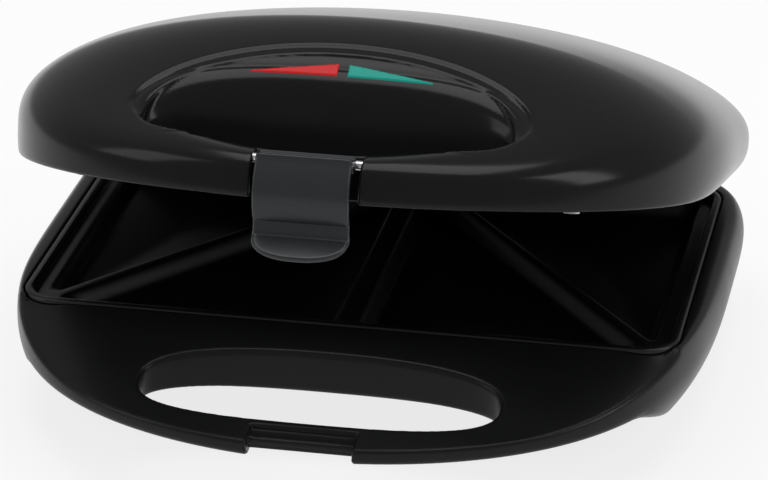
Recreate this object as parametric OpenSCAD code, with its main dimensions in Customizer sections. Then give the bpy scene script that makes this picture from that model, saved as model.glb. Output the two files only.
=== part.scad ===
// Two-slice sandwich toaster: a base and a hinged lid, each a moulded shell with a handle,
// a cast plate, a tubular heating element and a heat shield, held shut by a swinging clip.
// Millimetres. +Z is up, the handles point to -Y and the hinge is at +Y.
// Lid parts are drawn closed, with the parting plane at z = 0, and then turned ajar.

/* [Casing] */
// Width of the casing at its widest
body_w = 232; // [222:1:244]
// Depth of the base, from the front of the handle to the rear bulge
body_d = 220; // [216:1:230]
// Height of the parting plane above the table
base_h = 40; // [39.5:0.5:44]
// Height of the lid's crown above the parting plane
lid_h = 51; // [48:0.5:56]
// Wall thickness of both shells
wall = 2.6; // [2.2:0.1:3]
// Distance from the front of the handle to the widest point of the casing
widest_back = 151; // [146:1:156]
// Distance from the front of the handle to the middle of the part as it stands ajar
middle_back = 111.7; // [108:0.1:115]

/* [Handles] */
// Reach of the handles in front of the plates
handle_reach = 66; // [64:1:72]
// Width of the finger opening in the base handle
grip_w = 114; // [100:1:118]
// Width of the finger opening in the lid handle
lid_grip_w = 121; // [106:1:124]
// Depth of both finger openings, as a share of the handles' reach
grip_share = 0.53; // [0.48:0.01:0.54]
// Height of the base handle's edge band
band_h = 5; // [4:0.5:6]
// Height of the lid's handle bar above the parting plane
bar_h = 22; // [20:0.5:25]
// Thickness of the covers under the hollow handles
cover_t = 1.8; // [1.5:0.1:2.2]

/* [Plates] */
// Width of each cast plate
plate_w = 214; // [206:1:216]
// Depth of each cast plate, front to back
plate_d = 134; // [130:1:136]
// Height of a plate's rim above its sealing land
rim_h = 3; // [2:0.25:3.5]
// Thickness of the cast metal
cast_t = 2.7; // [2.2:0.1:3]
// Depth of a pocket's wall below the land
pocket_h = 6; // [5:0.25:7]
// Further drop to the middle of a pocket
pocket_dip = 2.6; // [1.5:0.1:3.5]
// Width of the land between two pockets
land_w = 6; // [5:0.25:8]
// Gap between the two plates when the lid is shut
plate_gap = 0.6; // [0.6:0.1:1.2]

/* [Heating] */
// Diameter of the tubular elements
element_dia = 6.4; // [5.6:0.2:6.8]
// Thickness of the sheet metal of the shields
sheet_t = 0.8; // [0.6:0.1:1]
// Body diameter of the thermostat
thermostat_dia = 16; // [14:0.5:17]

/* [Hinge] */
// Angle of the lid as it stands ajar
ajar = 17; // [12:0.5:24]
// Diameter of the steel hinge pins
hinge_pin_dia = 3.2; // [2.6:0.1:3.6]
// Diameter of the hinge barrels
barrel_dia = 9; // [8:0.25:9.5]
// Distance from the middle of the part to each hinge
hinge_out = 62; // [52:1:72]
// Width of a lid hinge barrel
barrel_w = 9; // [7:0.5:12]

/* [Latch] */
// Width of the clip
clip_w = 29.4; // [26:0.2:34]
// Thickness of the clip's wall
clip_t = 2.6; // [2:0.1:3]
// Diameter of the clip's pin
clip_pin_dia = 3; // [2.6:0.1:3.4]
// Swing of the hanging clip away from its locked position
clip_swing = 4; // [4:0.5:8]

/* [Fits] */
// Side clearance between a plate and its shell
plate_fit = 0.4; // [0.3:0.05:0.6]
// Radial clearance of a turning pin
pin_fit = 0.06; // [0.03:0.01:0.09]
// Radial clearance of a pressed pin or a screw
press_fit = 0.02; // [0.01:0.01:0.04]
// Gap between faces that move past each other
run_gap = 0.5; // [0.4:0.05:0.7]

/* [Hidden] */

$fn = 48;
ring_n = 80;
far = 500;
eps = 0.05;

// Places along the depth
front_y = -middle_back;
rear_y = front_y + body_d;
rim_y = front_y + handle_reach;
mid_y = front_y + widest_back;
plate_y = rim_y + plate_d / 2;
grip_d = grip_share * handle_reach;
grip_y = rim_y - 0.53 * handle_reach;

// The plan of the casing: pointed like a bow in front and squarer behind
half_w = body_w / 2;
front_p = 3.25;
rear_p = 5;

// Heights, measured from the parting plane
lip_z = plate_gap / 2;
seam_z = lip_z + 0.5;
ledge_z = lip_z + rim_h + cast_t;
floor_z = base_h - 3.5;
handle_z = 16.3;
pocket_z = lip_z + rim_h + pocket_h + pocket_dip;
rail_z = pocket_z + cast_t + 0.4;
element_r = element_dia / 2;
shield_z = rail_z + element_dia + sheet_t + 0.1;

// Hinge
hinge_y = rear_y + 3.5;
barrel_r = barrel_dia / 2;
hinge_pin_r = hinge_pin_dia / 2;
side_barrel_w = barrel_w - 1;
side_barrel_x = (barrel_w + side_barrel_w) / 2 + run_gap;
lead_bore_r = barrel_r - 1.5;
lead_barrel_w = 22;

// Latch, about the pin's axis
clip_pin_r = clip_pin_dia / 2;
clip_barrel_r = clip_pin_r + 2.2;
latch_y = front_y + 5.5;
latch_z = 12.4;
notch_w = clip_w + 3.6;
notch_back = latch_y + clip_barrel_r + 2 * run_gap;
catch_front = front_y + 4.5;
catch_z = handle_z - 2.3;
catch_h = 2.5;
catch_grip = 1.2;
tooth_r = norm([catch_front - latch_y, catch_z + latch_z]) + 0.35;

// Side profile of the clip about its pin: [forward is negative, up]
clip_bow_r = 19.9;
clip_bow = [10.35, -8.65];
crease = [-5.85, -20.26];
panel_end = [-1.86, -32.2];

// Fastener places, from the middle of a plate
post_x = 0.3645 * plate_w;
post_y = 0.29 * plate_d;
centre_screw_y = 0.373 * plate_d;
small_screw_x = 14;
fuse_x = 38;
fuse_r = 2.1;
gland_x = 34;
gland_z = 17;
foot_r = 6.5;
foot_x = 0.302 * body_w;
seat_z = floor_z - 8;

// Element loop and legs, from the middle of a plate
loop_x = 58;
loop_y = 29;
loop_r = 15;
leg_x = 13;
leg_y = loop_y + 24;
block_x = 48;
block_y = rear_y - 29;
block_l = 34;

// Brow, lenses and lamp board of the lid
brow_w = 134;
brow_d = 74;
brow_deep = 2.2;
lens_near = 2.2;
lens_far = 32;
lens_y = rim_y - 11;
board_z = 26.4;

function mix(a, b, s) = a + (b - a) * s;
function smooth(v) = let (s = min(max(v, 0), 1)) s * s * (3 - 2 * s);
function super_r(t, a, b, p) =
    pow(pow(abs(cos(t)) / a, p) + pow(abs(sin(t)) / b, p), -1 / p);

// Radius at angle t of the bow (x / a)^2 + (y / b)^front_p = 1, by Newton's steps
function bow_r(t, a, b, r, steps = 5) = steps == 0 ? r :
    let (u = pow(r * cos(t) / a, 2), v = pow(r * abs(sin(t)) / b, front_p))
    bow_r(t, a, b, r * (1 - (u + v - 1) / (2 * u + front_p * v)), steps - 1);

// Radius of the casing's plan at angle t about its widest point, drawn in by inset
function plan_r(t, inset = 0) =
    let (a = half_w - inset, front = mid_y - front_y - inset, rear = rear_y - mid_y - inset)
    sin(t) < 0 ? bow_r(t, a, front, super_r(t, a, front, 2.5)) : super_r(t, a, rear, rear_p);

// The same plan cut off in front at front_edge, as the tubs behind the handles are
function tub_r(t, inset, front_edge) = sin(t) < 0
    ? min(plan_r(t, inset), super_r(t, half_w - inset + 3, mid_y - front_edge, 8))
    : plan_r(t, inset);

// 0 on the handle's front, rising to 1 beside the plates: for heights, and for insets
function beside(y) = smooth((y - rim_y + 50) / 62);
function waist(y) = smooth((y - rim_y + 4) / 75);

// One ring of a shell: insets and depths in front and beside the plates
function shell_ring(inset_f, inset_s, z_f, z_s, front_edge = -far) = [
    for (i = [0 : ring_n - 1])
        let (t = 360 * i / ring_n,
             y = mid_y + plan_r(t) * sin(t),
             r = tub_r(t, mix(inset_f, inset_s, waist(y)), front_edge))
        [r * cos(t), mid_y + r * sin(t), mix(z_f, z_s, beside(y))]];

// Height of the lid's outside above the parting plane
function crown(x, y) = lid_h - 13 * pow(x / 100, 2)
    - 6.5 * pow(max(y - rim_y - 30, 0) / 100, 2);
function ramp(y) = smooth((y - rim_y + handle_reach) / 84);
function edge_z(y) = mix(7, 10, beside(y));
function dome_z(x, y) =
    let (t = atan2(y - mid_y, x),
         q = min(norm([x, y - mid_y]) / plan_r(t), 1),
         low = edge_z(y),
         top = mix(bar_h, crown(x, y), ramp(y)))
    low + (top - low) * pow(max(1 - pow(q, 6), 0), 1 / 2.6);

// A point of the dome at fraction q of the plan
function dome_point(t, q) =
    let (r = plan_r(t) * q, x = r * cos(t), y = mid_y + r * sin(t))
    [x, y, dome_z(x, y)];

// Solid through rings of equal length, from the lowest to the highest
module loft(rings) {
    n = len(rings[0]);
    last = (len(rings) - 1) * n;
    sides = [for (j = [0 : len(rings) - 2], i = [0 : n - 1])
        let (a = j * n + i, b = j * n + (i + 1) % n) each [[a, a + n, b + n], [a, b + n, b]]];
    polyhedron([for (r = rings) each r],
        concat([[for (i = [0 : n - 1]) i]], sides, [[for (i = [n - 1 : -1 : 0]) last + i]]));
}

// Superellipse outline, for the finger openings
module oval(w, d, p = 2.4) {
    polygon([for (i = [0 : 63]) let (t = 360 * i / 64, r = super_r(t, w / 2, d / 2, p))
        [r * cos(t), r * sin(t)]]);
}

// Rectangle with round corners, centred
module round_rect(w, d, r) {
    square([w - 2 * r, d], center = true);
    square([w, d - 2 * r], center = true);
    for (x = [-1, 1], y = [-1, 1])
        translate([x * (w / 2 - r), y * (d / 2 - r)]) circle(r);
}

// Pan-head screw whose shank points up from its head at z = 0
module screw(shank_r, length, head_r, head_h) {
    difference() {
        union() {
            translate([0, 0, -head_h]) cylinder(r = head_r, h = head_h);
            cylinder(r = shank_r, h = length);
        }
        for (a = [0, 90]) rotate(a)
            translate([-head_r * 0.6, -0.35, -head_h - eps])
                cube([head_r * 1.2, 0.7, head_h * 0.6]);
    }
}

module place_base() { translate([0, 0, base_h]) children(); }

module place_lid() {
    translate([0, hinge_y, base_h]) rotate([-ajar, 0, 0]) translate([0, -hinge_y, 0]) children();
}

module beside_both() {
    children();
    mirror([1, 0, 0]) children();
}

// ---- Parts that both halves share. They are drawn for the base, facing down. ----

// The four corners of the plate, or any rectangle about its middle
module at_corners(x, y) {
    for (i = [-1, 1], j = [-1, 1]) translate([i * x, plate_y + j * y, 0]) children();
}

// One pocket: a triangle with round corners, drawn in by inset, as a ring at depth z
function pocket_ring(corners, radius, inset, z) =
    let (c = (corners[0] + corners[1] + corners[2]) / 3,
         a = norm(corners[1] - corners[2]), b = norm(corners[2] - corners[0]),
         d = norm(corners[0] - corners[1]),
         mid = (a * corners[0] + b * corners[1] + d * corners[2]) / (a + b + d),
         cross2 = (corners[1] - corners[0])[0] * (corners[2] - corners[0])[1]
             - (corners[1] - corners[0])[1] * (corners[2] - corners[0])[0],
         in_r = abs(cross2) / (a + b + d),
         k = (in_r - inset - radius) / in_r)
    [for (i = [0 : 2])
        let (p = mid + (corners[i] - mid) * k,
             prev = corners[(i + 2) % 3] - corners[i],
             next = corners[(i + 1) % 3] - corners[i],
             from = atan2(-prev[0], prev[1]) + 180,
             to0 = atan2(-next[0], next[1]),
             to = to0 < from ? to0 + 360 : to0)
        for (s = [0 : 4]) let (g = mix(from, to > from + 360 ? to - 360 : to, s / 4))
            [p[0] + radius * cos(g), p[1] + radius * sin(g), z]];

function pocket_mid(corners) =
    let (a = norm(corners[1] - corners[2]), b = norm(corners[2] - corners[0]),
         d = norm(corners[0] - corners[1]))
    (a * corners[0] + b * corners[1] + d * corners[2]) / (a + b + d);

// The two pockets of the right-hand slice, corners listed anticlockwise from above
pocket_in = land_w / 2;
pocket_out = plate_w / 2 - 7;
pocket_near = plate_y - plate_d / 2 + 7;
pocket_far = plate_y + plate_d / 2 - 7;
diag = [pocket_out - pocket_in, pocket_near - pocket_far] / norm([pocket_out - pocket_in,
    pocket_near - pocket_far]);
diag_side = [-diag[1], diag[0]] * land_w / 2;
near_pocket = [[pocket_in, pocket_far] - diag * 8 - diag_side,
    [pocket_in, pocket_near], [pocket_out, pocket_near] - diag_side];
far_pocket = [[pocket_out, pocket_near] + diag_side, [pocket_out, pocket_far],
    [pocket_in, pocket_far] + diag_side];

// A pocket's solid, grown by skin: its hollow at 0 and its casting outside at cast_t
module pocket(corners, skin) {
    top = -(lip_z + rim_h) + (skin > 0 ? -eps : eps);
    deep = -(lip_z + rim_h + pocket_h) - skin;
    low = deep - pocket_dip;
    m = pocket_mid(corners);
    floor_ring = pocket_ring(corners, 5 + skin / 2, 3.5 - skin, deep);
    loft([
        [for (p = floor_ring) [m[0] + (p[0] - m[0]) * 0.02, m[1] + (p[1] - m[1]) * 0.02, low]],
        floor_ring,
        pocket_ring(corners, 6 + skin / 2, -skin, top)]);
}

module all_pockets(skin) {
    beside_both() {
        pocket(near_pocket, skin);
        pocket(far_pocket, skin);
    }
}

// Track of the element: a rounded rectangle about the plate's middle
module loop_band(width) {
    difference() {
        round_rect(2 * loop_x + width, 2 * loop_y + width, loop_r + width / 2);
        round_rect(2 * loop_x - width, 2 * loop_y - width, loop_r - width / 2);
    }
}

module plate_casting() {
    difference() {
        union() {
            translate([0, plate_y, -ledge_z]) linear_extrude(ledge_z - lip_z)
                round_rect(plate_w, plate_d, 12);
            all_pockets(cast_t);
            translate([0, plate_y, -rail_z]) linear_extrude(rail_z - ledge_z + eps)
                loop_band(element_dia);
            at_corners(post_x, post_y) translate([0, 0, -shield_z + sheet_t])
                cylinder(r = 4, h = shield_z - sheet_t - ledge_z + eps);
            translate([0, plate_y, -rail_z]) cylinder(r = thermostat_dia / 2 + 1,
                h = rail_z - ledge_z + eps);
            children();
        }
        translate([0, plate_y, -lip_z - rim_h]) linear_extrude(rim_h + eps)
            round_rect(plate_w - 5, plate_d - 5, 9.5);
        all_pockets(0);
        at_corners(post_x, post_y) translate([0, 0, -shield_z])
            cylinder(r = 1.75, h = shield_z - pocket_z - cast_t);
    }
}

// One leg and half of the loop, from the terminal to the middle of the front side
module element_half() {
    z = -rail_z - element_r;
    bend_r = 8;
    translate([leg_x, plate_y + loop_y + bend_r, z]) rotate([-90, 0, 0])
        cylinder(r = element_r, h = leg_y - loop_y - bend_r);
    translate([leg_x, plate_y + leg_y, z]) rotate([-90, 0, 0])
        cylinder(r = 1.6, h = 9);
    translate([leg_x + bend_r, plate_y + loop_y + bend_r, z]) rotate([0, 0, 180])
        rotate_extrude(angle = 90) translate([bend_r, 0]) circle(element_r);
    translate([leg_x + bend_r, plate_y + loop_y, z]) rotate([0, 90, 0])
        cylinder(r = element_r, h = loop_x - loop_r - leg_x - bend_r);
    for (j = [0, 1]) translate([loop_x - loop_r, plate_y + (1 - 2 * j) * (loop_y - loop_r), z])
        rotate([0, 0, -90 * j]) rotate_extrude(angle = 90)
            translate([loop_r, 0]) circle(element_r);
    translate([loop_x, plate_y - loop_y + loop_r, z]) rotate([-90, 0, 0])
        cylinder(r = element_r, h = 2 * (loop_y - loop_r));
    translate([0, plate_y - loop_y, z]) rotate([0, 90, 0])
        cylinder(r = element_r, h = loop_x - loop_r);
}

module element() {
    color([0.45, 0.45, 0.47]) beside_both() element_half();
}

// Pressed sheet tray under an element, with a turned edge and a window for the thermostat
module heat_shield() {
    tray_w = 2 * post_x + 26;
    tray_d = 2 * post_y + 18;
    edge = 4;
    color([0.75, 0.76, 0.78]) translate([0, plate_y, -shield_z]) difference() {
        linear_extrude(edge) round_rect(tray_w, tray_d, 10);
        translate([0, 0, sheet_t]) linear_extrude(edge)
            round_rect(tray_w - 2 * sheet_t, tray_d - 2 * sheet_t, 10 - sheet_t);
        translate([0, 0, -eps]) linear_extrude(sheet_t + 2 * eps) round_rect(46, 24, 6);
        for (i = [-1, 1], j = [-1, 1]) translate([i * post_x, j * post_y, -eps])
            cylinder(r = 2, h = sheet_t + 2 * eps);
        translate([-leg_x - 8, tray_d / 2 - 3, sheet_t + eps]) cube([2 * leg_x + 16, 6, edge]);
        children();
    }
}

// ---- Handles ----

// Plan of the hollow under a handle: inside the outline, in front of the tub,
// around the finger opening and clear of the latch block
module handle_plan(inset, opening_w, ring, block_w) {
    difference() {
        polygon([for (i = [0 : ring_n - 1]) let (t = 360 * i / ring_n, r = plan_r(t, inset))
            [r * cos(t), mid_y + r * sin(t)]]);
        translate([-far, rim_y - 16 - inset]) square([2 * far, far]);
        translate([0, grip_y]) oval(opening_w + 2 * ring, grip_d + 2 * ring);
        translate([-block_w / 2, front_y - far]) square([block_w, far + handle_reach / 2]);
    }
}

// Where the covers are screwed on
cover_screw_x = 76;
cover_screw_y = rim_y - 30;
module at_cover_screws() {
    for (x = [-1, 1]) translate([x * cover_screw_x, cover_screw_y, 0]) children();
}

// Ribs left standing in a handle's hollow
module handle_ribs() {
    for (x = [-1, 1], k = [0 : 2])
        translate([x * (36 + 14 * k) - 0.8, front_y]) square([1.6, handle_reach]);
    at_cover_screws() circle(4);
}

module handle_cover(opening_w) {
    difference() {
        linear_extrude(cover_t) handle_plan(3 + 0.2, opening_w, wall + 0.2, notch_w + 8.4);
        at_cover_screws() translate([0, 0, -eps]) cylinder(r = 1.7, h = cover_t + 2 * eps);
    }
}

// Cutter for the clip's notch in a handle's front, back to y_back and from z0 to z1
module notch(y_back, z0, z1) {
    translate([-notch_w / 2, front_y - 5, z0]) cube([notch_w, y_back - front_y + 5, z1 - z0]);
}

// ---- Base ----

module base_outside() {
    loft([
        shell_ring(15, 15, -floor_z, -floor_z, rim_y + 29),
        shell_ring(9.5, 9.5, -floor_z + 5.5, -floor_z + 5.5, rim_y + 17),
        shell_ring(5, 5, -handle_z, -23, rim_y - 15.5),
        shell_ring(0.5, 1.2, -handle_z + 0.4, -16),
        shell_ring(0, 0, -handle_z + 3.6, -10.5),
        shell_ring(0.6, 2.6, -handle_z + 0.4 + band_h, -3.6),
        shell_ring(1.6, 6, -seam_z, -seam_z, rim_y - 1)]);
}

module base_hollow() {
    in = wall;
    loft([
        shell_ring(15 + in, 15 + in, -floor_z + in, -floor_z + in, rim_y + 30 + in),
        shell_ring(10 + in, 10 + in, -floor_z + 6.5, -floor_z + 6.5, rim_y + 20 + in),
        shell_ring(6 + in, 6 + in, -handle_z - 2, -22, rim_y - 13 + in),
        shell_ring(2 + in, 2 + in, -handle_z + 2, -15, rim_y - 14 + in),
        shell_ring(3 + in, 3 + in, -ledge_z - in, -ledge_z - in, rim_y - 12 + in)]);
}

// Hollow of the handle, a wall's thickness under its top, and the cover's seat
module base_handle_hollow() {
    top_z = -handle_z + 0.4 + band_h - wall;
    intersection() {
        loft([
            shell_ring(3, 3, -handle_z - 2, -handle_z - 2),
            shell_ring(3, 3, top_z, top_z),
            shell_ring(6, 6, -seam_z - wall, -seam_z - wall, rim_y - 1)]);
        translate([0, 0, -handle_z - 1]) linear_extrude(handle_z) difference() {
            handle_plan(3, grip_w, wall, notch_w + 8);
            handle_ribs();
        }
    }
    translate([0, 0, -handle_z - 2]) linear_extrude(2 + cover_t)
        handle_plan(3, grip_w, wall, notch_w + 8);
}

module plate_well() {
    translate([0, plate_y, -ledge_z]) linear_extrude(far)
        round_rect(plate_w + 2 * plate_fit, plate_d + 2 * plate_fit, 12 + plate_fit);
    translate([0, plate_y, -ledge_z - 2 * wall]) linear_extrude(far)
        round_rect(plate_w - 7, plate_d - 7, 9);
}

// Barrel on the hinge axis with an arm that reaches the shell, on the side of -z
module knuckle(x, w) {
    translate([x - w / 2, hinge_y, 0]) rotate([0, 90, 0]) cylinder(r = barrel_r, h = w);
    translate([x - w / 2, hinge_y - 8, -10]) cube([w, 8, 9.2]);
}

module base_shell() {
    boss_top = shield_z + 0.1;
    color([0.09, 0.09, 0.1]) place_base() difference() {
        union() {
            difference() {
                base_outside();
                base_hollow();
            }
            beside_both() for (s = [-1, 1]) knuckle(hinge_out + s * side_barrel_x, side_barrel_w);
            knuckle(-lead_barrel_w / 2 - run_gap / 2, lead_barrel_w);
            intersection() {
                base_outside();
                at_corners(post_x, post_y) translate([0, 0, -floor_z])
                    cylinder(r = 5.5, h = floor_z - boss_top);
            }
            translate([gland_x, rear_y - 9, -gland_z]) rotate([-90, 0, 0])
                cylinder(r = 9, h = 10);
        }
        plate_well();
        // Finger opening, handle hollow and the catch's notch
        translate([0, grip_y, -handle_z - 5]) linear_extrude(far) oval(grip_w, grip_d);
        base_handle_hollow();
        notch(front_y + 10, -catch_z + catch_h, far);
        notch(catch_front, -far, far);
        notch(catch_front + catch_grip + 1.4, -far, -catch_z);
        // Bores of the hinge, the leads, the gland and the screws
        beside_both() translate([hinge_out - 30, hinge_y, 0]) rotate([0, 90, 0])
            cylinder(r = hinge_pin_r + press_fit, h = 60);
        translate([-lead_barrel_w - 5, hinge_y, 0]) rotate([0, 90, 0])
            cylinder(r = lead_bore_r, h = lead_barrel_w + 10);
        translate([gland_x, rear_y - 20, -gland_z]) rotate([-90, 0, 0])
            cylinder(r = 5.5, h = 40);
        at_corners(post_x, post_y) {
            translate([0, 0, -far]) cylinder(r = 2.2, h = far - boss_top + 10);
            translate([0, 0, -far]) cylinder(r = 4.2, h = far - seat_z);
        }
        at_cover_screws() translate([0, 0, -handle_z]) cylinder(r = 1.3, h = 7);
        at_feet() translate([0, 0, -far]) cylinder(r = foot_r + press_fit, h = far - floor_z + 1);
    }
}

module base_handle_cover() {
    color([0.1, 0.1, 0.11]) place_base() translate([0, 0, -handle_z]) handle_cover(grip_w);
}

module base_cover_screws() {
    color([0.7, 0.7, 0.72]) place_base() at_cover_screws()
        translate([0, 0, -handle_z]) screw(1.28, 6, 2.6, 1.2);
}

module base_plate() {
    color([0.13, 0.13, 0.13]) place_base() difference() {
        plate_casting() {
            for (x = [-1, 1]) translate([x * small_screw_x, plate_y, -rail_z - 4])
                cylinder(r = 3.5, h = 4 + rail_z - ledge_z);
            translate([-fuse_x - 8, plate_y - 7, -rail_z]) cube([16, 14, rail_z - ledge_z]);
        }
        for (x = [-1, 1]) translate([x * small_screw_x, plate_y, -rail_z - 5])
            cylinder(r = 1.3, h = 5 + rail_z - pocket_z - cast_t + 0.3);
        translate([-fuse_x - 5, plate_y, -rail_z - 1]) cylinder(r = 1.3, h = 1 + 0.3);
    }
}

module base_element() { place_base() element(); }

module base_heat_shield() { place_base() heat_shield(); }

module base_plate_screws() {
    color([0.7, 0.7, 0.72]) place_base() at_corners(post_x, post_y)
        translate([0, 0, -seat_z]) screw(1.73, seat_z - pocket_z - cast_t - 1, 3.6, 2.4);
}

thermostat_flange_z = rail_z + 4;
module thermostat() {
    r = thermostat_dia / 2;
    color([0.85, 0.84, 0.8]) place_base() translate([0, plate_y, 0]) {
        translate([0, 0, -thermostat_flange_z + 0.05])
            cylinder(r = r, h = thermostat_flange_z - rail_z - 0.1);
        translate([0, 0, -thermostat_flange_z - 7]) cylinder(r = r - 1.6, h = 7.1);
        for (x = [-1, 1]) translate([x * 3.6 - 0.4, -2.4, -thermostat_flange_z - 11])
            cube([0.8, 4.8, 5]);
    }
}

module thermostat_bracket() {
    color([0.75, 0.76, 0.78]) place_base() translate([0, plate_y, -thermostat_flange_z - sheet_t])
        difference() {
            linear_extrude(sheet_t)
                round_rect(2 * small_screw_x + 9, thermostat_dia + 2, 7);
            translate([0, 0, -1]) cylinder(r = thermostat_dia / 2 - 1.5, h = 3);
            for (x = [-1, 1]) translate([x * small_screw_x, 0, -1]) cylinder(r = 1.5, h = 3);
        }
}

module thermal_fuse() {
    color([0.8, 0.78, 0.7]) place_base() translate([-fuse_x, plate_y - 9, -rail_z - fuse_r])
        rotate([-90, 0, 0]) union() {
            cylinder(r = fuse_r, h = 18);
            translate([0, 0, -5]) cylinder(r = 0.5, h = 28);
        }
}

// Bent strip that holds the fuse against the casting, with one foot beside it
module fuse_strap() {
    strip_w = 8;
    color([0.75, 0.76, 0.78]) place_base() translate([-fuse_x, plate_y + strip_w / 2, -rail_z])
        rotate([90, 0, 0]) linear_extrude(strip_w) difference() {
            union() {
                translate([0, -fuse_r]) circle(fuse_r + sheet_t);
                translate([-fuse_r - sheet_t, -fuse_r]) square([2 * (fuse_r + sheet_t), fuse_r]);
                translate([-8, -sheet_t]) square([8, sheet_t]);
            }
            translate([0, -fuse_r]) circle(fuse_r + eps);
            translate([-fuse_r - eps, -fuse_r]) square([2 * (fuse_r + eps), fuse_r + 1]);
        }
}

module base_small_screws() {
    color([0.7, 0.7, 0.72]) place_base() for (x = [-1, 1])
        translate([x * small_screw_x, plate_y, -thermostat_flange_z - sheet_t])
            screw(1.28, 4, 2.4, 1.4);
}

// Ceramic terminal block on the floor, behind the element's legs
module terminal_block() {
    color([0.9, 0.88, 0.84]) place_base()
        translate([block_x, block_y, -floor_z + wall]) difference() {
            translate([-block_l / 2, -6, 0]) cube([block_l, 12, 10]);
            for (k = [-1, 0, 1]) translate([11 * k, 0, 5]) {
                rotate([90, 0, 0]) translate([0, 0, -8]) cylinder(r = 2.2, h = 16);
                cylinder(r = 1.9, h = 8);
            }
            for (k = [-1, 1]) translate([5.5 * k - 0.8, -7, 6]) cube([1.6, 14, 5]);
        }
}

module terminal_screws() {
    color([0.8, 0.75, 0.5]) place_base() for (k = [-1, 0, 1])
        translate([block_x + 11 * k, block_y, -floor_z + wall + 9.4])
            rotate([180, 0, 0]) translate([0, 0, 0.2]) screw(1.2, 5.5, 1.86, 1.4);
}

// The cord's hole is open outside and ends in the gland, which closes the shell
module cord_gland() {
    color([0.07, 0.07, 0.07]) place_base() translate([gland_x, rear_y, -gland_z])
        rotate([-90, 0, 0]) difference() {
            union() {
                translate([0, 0, -10]) cylinder(r = 5.5 - press_fit, h = 11.02);
                translate([0, 0, 1.02]) cylinder(r = 7.4, h = 2.4);
                translate([0, 0, -12.2]) cylinder(r1 = 5.6, r2 = 6.3, h = 2.2);
            }
            translate([0, 0, -2]) cylinder(r = 3.4, h = 20);
        }
}

module at_feet() {
    for (x = [-1, 1]) {
        translate([x * foot_x, rim_y + 38, 0]) children();
        translate([x * foot_x, rear_y - 32, 0]) children();
    }
}

module feet() {
    color([0.12, 0.12, 0.12]) at_feet() {
        cylinder(r1 = foot_r - 0.8, r2 = foot_r, h = 1);
        translate([0, 0, 1]) cylinder(r = foot_r, h = base_h - floor_z - 0.02);
    }
}

module hinge_pins() {
    half = side_barrel_x + side_barrel_w / 2 + 0.6;
    color([0.75, 0.75, 0.77]) place_base() for (s = [-1, 1])
        translate([s * hinge_out - half, hinge_y, 0]) rotate([0, 90, 0])
            cylinder(r = hinge_pin_r, h = 2 * half);
}

// The leads to the lid cross inside the hollow middle barrels
module lid_leads() {
    color([0.85, 0.83, 0.75]) place_base() translate([-lead_barrel_w - run_gap, hinge_y, 0])
        rotate([0, 90, 0]) cylinder(r = lead_bore_r - 0.1, h = 2 * (lead_barrel_w + run_gap));
}

// ---- Lid ----

module lid_outside() {
    steps = [1, 0.997, 0.985, 0.965, 0.935, 0.89, 0.83, 0.75, 0.65, 0.53, 0.4, 0.25];
    top = dome_z(0, mid_y);
    loft(concat(
        [shell_ring(0.6, 6, seam_z, seam_z)],
        [for (q = steps) [for (i = [0 : ring_n - 1]) dome_point(360 * i / ring_n, q)]],
        [[for (i = [0 : ring_n - 1]) let (p = dome_point(360 * i / ring_n, 0.08))
            [p[0], p[1], top]]]));
}

// Inside of the lid, a wall's thickness in from the dome and lower under the brow
function hollow_point(t, q, front_edge, low) =
    let (r = tub_r(t, wall + 2, front_edge) * q,
         out = r + wall + 0.6,
         x = r * cos(t), y = mid_y + r * sin(t),
         sunk = (brow_deep + 0.4) * (1 - smooth((y - rim_y - 3) / 10)),
         z = dome_z(out * cos(t), mid_y + out * sin(t)) - wall - sunk)
    [x, y, max(z, low)];

module lid_under(edge_inset, low, front_edge = -far) {
    steps = [1, 0.97, 0.92, 0.85, 0.75, 0.62, 0.48, 0.32];
    top = dome_z(0, mid_y) - wall - 0.2;
    loft(concat(
        [shell_ring(edge_inset, edge_inset, low - 1, low - 1, front_edge)],
        [for (q = steps) [for (i = [0 : ring_n - 1])
            hollow_point(360 * i / ring_n, q, front_edge, low)]],
        [[for (i = [0 : ring_n - 1])
            let (p = hollow_point(360 * i / ring_n, 0.12, front_edge, low)) [p[0], p[1], top]]]));
}

module lid_hollow() { lid_under(wall + 5, ledge_z + wall + 1, rim_y - 12); }

// Cutter for the brow: a crescent above the finger opening, deepest at the opening
function brow_point(t, k, depth) =
    let (r = super_r(t, brow_w / 2, brow_d / 2, 2) * k,
         x = r * cos(t), y = grip_y + r * sin(t))
    [x, y, dome_z(x, y) - mix(-2, depth, smooth((y - grip_y + 8) / 14))];
module brow_cutter() {
    n = 64;
    steps = [[0.1, brow_deep], [0.4, brow_deep], [0.7, brow_deep], [0.86, brow_deep * 0.8],
        [0.95, brow_deep * 0.5], [1, -2]];
    loft(concat(
        [for (s = steps) [for (i = [0 : n - 1]) brow_point(360 * i / n, s[0], s[1])]],
        [[for (i = [0 : n - 1]) let (p = brow_point(360 * i / n, 1, 0)) [p[0], p[1], far]]]));
}

module lid_handle_hollow() {
    intersection() {
        lid_under(wall + 2, seam_z + cover_t);
        translate([0, 0, -1]) linear_extrude(60) difference() {
            handle_plan(3.4, lid_grip_w, wall, notch_w + 8);
            handle_ribs();
        }
    }
    translate([0, 0, -1]) linear_extrude(1 + seam_z + cover_t)
        handle_plan(3, lid_grip_w, wall, notch_w + 8);
}

// Window of a lamp lens in plan: a long wedge that tapers away from the middle
module lens_plan(grow) {
    polygon([[lens_near - grow, lens_y + 3.4 + grow], [lens_near - grow, lens_y - grow],
        [lens_far + 2 * grow, lens_y + 0.6 - grow], [lens_far + 2 * grow, lens_y + 1.2 + grow]]);
}

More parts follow.
